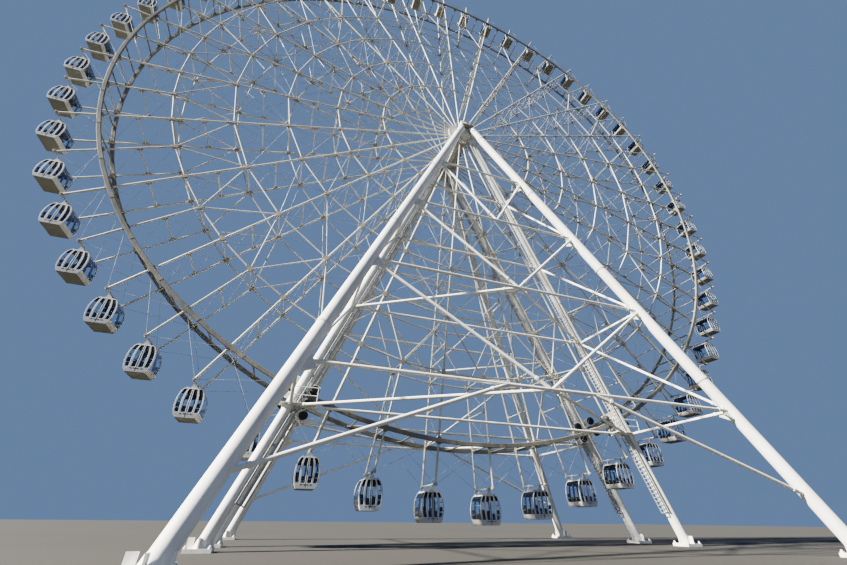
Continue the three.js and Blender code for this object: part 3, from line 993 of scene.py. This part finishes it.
brackets = open_piece("brackets")
for hand in (LEFT, RIGHT):
    out, along = unit_directions(hand)
    plate = HUB + out * RIM_RADIUS + Y * PLATE_Y
    for edge in (-1, 1):
        block(plate + out * edge * PLATE_SHIFT, out, along, *TYRE_PLATE)
    block(plate, out, along, *MIDDLE_PLATE)
    leg = on_leg(INNER_LEG, hand, UNIT_Z)
    for edge in (-1, 1):
        arm = (plate + leg) / 2 + out * edge * ARM_SHIFT
        block(arm, Y, along, leg.y - PLATE_Y, 0.060, 0.012)
    deck = leg + Y * DECK_SHIFT - Z * DECK_DROP
    block(deck, X, Y, *DECK)
    left, right = (deck + Y * RAILING_Y + X * way * RAILING_X for way in (-1, 1))
    for post in (left, right):
        bar(post, post + Z * RAILING_HEIGHT, RAILING)
    for z in (RAILING_HEIGHT / 2, RAILING_HEIGHT):
        bar(left + Z * z, right + Z * z, RAILING)
    for way in (-1, 1):
        bar(deck + X * way * KNEE_X, on_leg(INNER_LEG, hand, leg.z - KNEE_DROP), KNEE, 8)
close_piece(brackets, WHITE_PAINT)

support_parts = [legs, ties, housing, feet, cap, *ladders, tyres, motors, brackets]
rear_support = joined("rear_support_legs", support_parts)
front_support = mirrored(rear_support, "front_support_legs")
for support, node in ((front_support, "front_support"), (rear_support, "rear_support")):
    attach(support, "base")
    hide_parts(node)
    print(size_of(support))

# %% [markdown]
# A cabin is a barrel-shaped glazed shell. Its front and rear have curved white ribs between four bays of
# glass, with a dark vent at the top of each and the dark gap of the double door in the middle. Each side is
# one large pane in a beige frame. The cabin is modelled about its pivot, from the roof down: a flat roof is
# cut with bisect where the ribs will run, then extruded downwards and resized level by level, so that every
# cut becomes a rib that follows the barrel's curve.

# %% The cabin's shell
LEVELS = [
    (-0.0420, 0.0530, 0.0850),
    (-0.0500, 0.0600, 0.0858),
    (-0.0600, 0.0680, 0.0868),
    (-0.0820, 0.0775, 0.0885),
    (-0.1050, 0.0830, 0.0900),
    (-0.1350, 0.0859, 0.0918),
    (-0.1620, 0.0857, 0.0925),
    (-0.1850, 0.0830, 0.0928),
    (-0.2050, 0.0785, 0.0928),
    (-0.2250, 0.0715, 0.0925),
    (-0.2400, 0.0625, 0.0920),
]  # height, half width and half depth about the pivot, from the roof to the floor
ROOF_Z, VENT_TOP, VENT_BOTTOM, SILL, KICK, FLOOR = (LEVELS[i][0] for i in (0, 1, 3, 8, 9, 10))
RIB_CUTS = [0.03, 0.10, 0.42, 0.59, 0.88]  # parts of the half width: door gap, stripe, bay, rib, bay
CORNER_CUT = 0.90  # part of the half depth
SHELL_WALL = 0.0045
FLAT = 0.99  # the normal of a level face is at least this far up or down


def half_size(z):
    """The shell's half width and half depth at a height."""
    for (top, x0, y0), (bottom, x1, y1) in zip(LEVELS, LEVELS[1:]):
        if z >= bottom:
            part = (top - z) / (top - bottom)
            return x0 + (x1 - x0) * part, y0 + (y1 - y0) * part
    return LEVELS[-1][1:]


def is_side(face):
    """Whether a face looks to the cabin's left or right."""
    return abs(face.normal.x) > abs(face.normal.y) and abs(face.normal.z) < FLAT


def in_door_gap(face):
    """Whether a face is in the gap between the two doors, from the roof to the floor."""
    centre = face.calc_center_median()
    upright = abs(face.normal.z) < FLAT and not is_side(face)
    return upright and abs(centre.x) < RIB_CUTS[0] * half_size(centre.z)[0]


def in_bay(face):
    """Whether a face of the barrel is glass or vent, between two ribs."""
    centre = face.calc_center_median()
    if not SILL < centre.z < VENT_TOP:
        return False
    half_x, half_y = half_size(centre.z)
    if is_side(face):
        return abs(centre.y) / half_y < CORNER_CUT
    part = abs(centre.x) / half_x
    return RIB_CUTS[1] < part < RIB_CUTS[2] or RIB_CUTS[3] < part < RIB_CUTS[4]


def select_faces(mesh, wanted):
    """Selects just the faces that WANTED says yes to, and returns how many there are."""
    bpy.ops.mesh.select_all(action="DESELECT")
    faces = bmesh.from_edit_mesh(mesh)
    for face in faces.faces:
        face.select_set(wanted(face))
    bmesh.update_edit_mesh(mesh)
    return sum(face.select for face in faces.faces)


def give_finish(piece, slot, wanted):
    """Gives another of the piece's finishes to the faces that WANTED says yes to."""
    select_faces(piece.data, wanted)
    piece.active_material_index = slot
    bpy.ops.object.material_slot_assign()


barrel = open_piece("barrel")
roof_x, roof_y = LEVELS[0][1:]
outline(4, Z * ROOF_Z, X, Y, 2 * roof_x, 2 * roof_y)
for cuts, half, direction in ((RIB_CUTS, roof_x, X), ([CORNER_CUT], roof_y, Y)):
    for cut in cuts:
        for way in (-1, 1):
            bpy.ops.mesh.select_all(action="SELECT")
            bpy.ops.mesh.bisect(plane_co=direction * way * cut * half, plane_no=direction)
bpy.ops.mesh.select_all(action="SELECT")
for (high, x0, y0), (low, x1, y1) in zip(LEVELS, LEVELS[1:]):
    bpy.ops.mesh.extrude_region_move(TRANSFORM_OT_translate={"value": (0, 0, low - high)})
    bpy.ops.transform.resize(value=(x1 / x0, y1 / y0, 1), center_override=(0, 0, low))
bpy.ops.mesh.select_all(action="SELECT")
bpy.ops.mesh.normals_make_consistent(inside=False)

glass_faces = select_faces(barrel.data, lambda face: in_bay(face) or in_door_gap(face))
bpy.ops.mesh.separate(type="SELECTED")
flat_faces = select_faces(barrel.data, lambda face: abs(face.normal.z) > FLAT)
bpy.ops.mesh.dissolve_limited(angle_limit=math.radians(1))
bpy.ops.object.mode_set(mode="OBJECT")
panes = next(piece for piece in bpy.context.selected_objects if piece is not barrel)
print("Faces cut out:", glass_faces, "flat faces:", flat_faces)

# %% [markdown]
# Cutting the glass away has left real openings. Solidify now gives the shell its wall, inwards, which also
# closes the edges round each opening, and a fine bevel rounds the ribs so that they catch the light. Its
# new inner faces get the dark finish of the lining. The panes are moved in behind the ribs and get their
# own thickness, and the ones at the top of the bays become dark vents.

# %% Walls, panes and vents
EDGE_ROUNDING = 0.0008
PAN_RIM = {"thickness": 0.003, "depth": -0.002}
PANE_INSET = 0.0022
PANE_THICKNESS = 0.0016

select_only(barrel)
for finish in (CABIN_PAINT, SIDE_PAINT, PAN_PAINT, LINING_PAINT):
    barrel.data.materials.append(finish)
bpy.ops.object.mode_set(mode="EDIT")
give_finish(barrel, 1, is_side)
bpy.ops.object.mode_set(mode="OBJECT")
apply_modifier(
    barrel, "SOLIDIFY", thickness=SHELL_WALL, offset=-1, use_even_offset=True, material_offset=3
)
apply_modifier(
    barrel, "BEVEL", width=EDGE_ROUNDING, segments=1, limit_method="ANGLE", angle_limit=math.radians(50)
)
bpy.ops.object.mode_set(mode="EDIT")
give_finish(barrel, 2, lambda face: face.normal.z < -FLAT and face.calc_center_median().z < FLOOR + 0.001)
bpy.ops.mesh.inset(**PAN_RIM)
bpy.ops.object.mode_set(mode="OBJECT")
bpy.ops.object.shade_smooth_by_angle(angle=math.radians(40))

select_only(panes)
panes.data.materials.append(GLASS)
panes.data.materials.append(VENT_BLACK)
bpy.ops.object.mode_set(mode="EDIT")
give_finish(panes, 1, lambda face: face.calc_center_median().z > VENT_BOTTOM and not is_side(face))
give_finish(panes, 1, in_door_gap)
bpy.ops.mesh.select_all(action="SELECT")
bpy.ops.transform.shrink_fatten(value=-PANE_INSET)
bpy.ops.object.mode_set(mode="OBJECT")
apply_modifier(panes, "SOLIDIFY", thickness=PANE_THICKNESS, offset=-1, use_even_offset=True)
bpy.ops.object.shade_smooth_by_angle(angle=math.radians(30))
print(size_of(barrel), "and", size_of(panes))

# %% [markdown]
# What hangs the cabin is its thin axle, which lies between the bearings at the arm tips. Near each end a
# light triangular plate comes down from it to the roof's edge. Inside, a bench runs along the front and the
# rear wall. The dark backs of its seats show through the bays of glass, two above each other in the outer
# bays, and a light handrail crosses each side pane.

# %% Hanger, brackets and seats
AXLE_HALF_LENGTH = 0.1385
AXLE_RADIUS = 0.006
AXLE_COLLAR = 0.008  # half the length of a hanger's collar, and the length of the end's
HANGER_Y = 0.075
HANGER_PLATE = (0.024, 0.056, 0.006)  # half its base, its height and its depth
HANGER_FOOT = (0.062, 0.014, 0.006)
HANGER_BRACKET = (0.007, 0.010, 0.012)
BENCH_Z = -0.202
BENCH_DEPTH, BENCH_HEIGHT = 0.034, 0.010
SEAT_WIDTH, SEAT_DEPTH, SEAT_ROUNDING = 0.026, 0.008, 0.003
BEHIND_WALL = 0.006  # from the wall's inner face to the middle of a seat back
# Of each seat back: its place as a part of the half width, its middle's z, and its height.
SEAT_BACKS = [(0.26, -0.180, 0.032), (0.73, -0.156, 0.028), (0.72, -0.187, 0.022)]
HANDRAIL_Z = -0.112
HANDRAIL = [(0.060, 0.0022), (0.060, 0.0035), (0.066, 0.0035), (0.066, 0.0022), (0.084, 0.0022)]
KICK_VENT = (0.012, 0.005, 0.003)

axle = open_piece("axle")
half = [(HANGER_Y - AXLE_COLLAR, AXLE_RADIUS), (HANGER_Y - AXLE_COLLAR, 0.009)]
half += [(HANGER_Y + AXLE_COLLAR, 0.009), (HANGER_Y + AXLE_COLLAR, AXLE_RADIUS)]
half += [(AXLE_HALF_LENGTH - AXLE_COLLAR, AXLE_RADIUS), (AXLE_HALF_LENGTH - AXLE_COLLAR, 0.010)]
half += [(AXLE_HALF_LENGTH, 0.010)]
turned(Vector(), Y, mirrored_profile(half), 12)
close_piece(axle, ROD_ZINC)

hangers = open_piece("hangers")
for way in (-1, 1):
    foot = Vector((0, way * HANGER_Y, ROOF_Z - 0.003))
    gusset(foot, X, Z, *HANGER_PLATE)
    block(foot + Z * 0.004, X, Y, *HANGER_FOOT)
    for x in (-0.044, 0.044):
        block(foot + X * x + Z * 0.007, X, Y, *HANGER_BRACKET)
close_piece(hangers, CABIN_PAINT)

seats = open_piece("seats")
half_x, half_y = half_size(BENCH_Z)
wall = half_y - SHELL_WALL - BEHIND_WALL
for way in (-1, 1):
    block(Vector((0, way * (wall - 0.014), BENCH_Z)), X, Y, 1.6 * half_x, BENCH_DEPTH, BENCH_HEIGHT)
    for part, z, height in SEAT_BACKS:
        for hand in (LEFT, RIGHT):
            place = Vector((hand * part * half_size(z)[0], way * wall, z))
            block(place, X, Z, SEAT_WIDTH, height, SEAT_DEPTH)
            bpy.ops.mesh.select_linked()
            bpy.ops.mesh.bevel(offset=SEAT_ROUNDING, affect="EDGES")
close_piece(seats, SEAT_CLOTH)

handrails = open_piece("handrails")
for hand in (LEFT, RIGHT):
    place = Vector((hand * (half_size(HANDRAIL_Z)[0] - SHELL_WALL - 0.003), 0, HANDRAIL_Z))
    turned(place, place + Y, mirrored_profile(HANDRAIL), 6)
close_piece(handrails, CABIN_PAINT)

kick_vents = open_piece("kick_vents")
vent_z = (SILL + KICK) / 2
half_x, half_y = half_size(vent_z)
for way in (-1, 1):
    lean = Vector((0, way * (half_size(SILL)[1] - half_size(KICK)[1]), SILL - KICK)).normalized()
    for part in (-0.42, -0.12, 0.12, 0.42):
        block(Vector((part * half_x, way * (half_y - 0.0008), vent_z)), X, lean, *KICK_VENT)
close_piece(kick_vents, DARK_PAINT)

pattern = joined("cabin_pattern", [barrel, panes, axle, hangers, seats, handrails, kick_vents])
print(size_of(pattern))

# %% [markdown]
# All 54 cabins are alike, so each one is a copy of the pattern with its own mesh, moved to its pivot.
# Applying the move puts the place into the mesh and leaves the object at the origin, where the frame keeps
# its nodes.

# %% The cabins
for body, pivot in PIVOTS.items():
    node = body.removesuffix("_body")
    cabin = copy_of(pattern, node + "_finished")
    cabin.location = pivot
    bpy.ops.object.transform_apply(location=True, rotation=False, scale=False)
    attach(cabin, body)
    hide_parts(node)
bpy.data.objects.remove(pattern)
print(len(PIVOTS), "cabins")

# %% [markdown]
# The wheel stands on a plain dark floor under a plain blue-grey sky. One sun, high at the left, lights the
# tubes as in the photograph: bright on their left, blue-grey in their shade. The sky's own light fills the
# shadows. The film-like response with high contrast gives the photograph's soft highlights and deep shades.

# %% Floor, light and sky
FLOOR_HALF_SIZE = 30
FLOOR_TONES = [(0.3, (0.068, 0.063, 0.054)), (0.7, (0.060, 0.056, 0.048))]
SUN_FROM = Vector((-0.80, -0.10, 0.58))
SUN_STRENGTH = 12.5
SUN_COLOUR = (1.0, 0.96, 0.89)
SKY_COLOUR = (0.125, 0.190, 0.310)

floor_material, tree, shader, place = new_material("plain floor")
tree.links.new(ramp(tree, noise(tree, place, 0.6), FLOOR_TONES), shader.inputs["Base Color"])
shader.inputs["Roughness"].default_value = 0.9

bpy.ops.object.select_all(action="DESELECT")
bpy.ops.mesh.primitive_plane_add(size=2 * FLOOR_HALF_SIZE)
floor = bpy.context.active_object
floor.name = "floor"
floor.data.materials.append(floor_material)

bpy.ops.object.light_add(type="SUN")
sun = bpy.context.active_object
sun.rotation_euler = SUN_FROM.to_track_quat("Z", "Y").to_euler()
sun.data.energy = SUN_STRENGTH
sun.data.angle = math.radians(3)
sun.data.color = SUN_COLOUR

sky = bpy.data.worlds.new("plain sky")
sky.use_nodes = True
background = sky.node_tree.nodes["Background"]
background.inputs["Color"].default_value = (*SKY_COLOUR, 1)
background.inputs["Strength"].default_value = 1.0
bpy.context.scene.world = sky
bpy.context.scene.view_settings.view_transform = "Filmic"
bpy.context.scene.view_settings.look = "High Contrast"
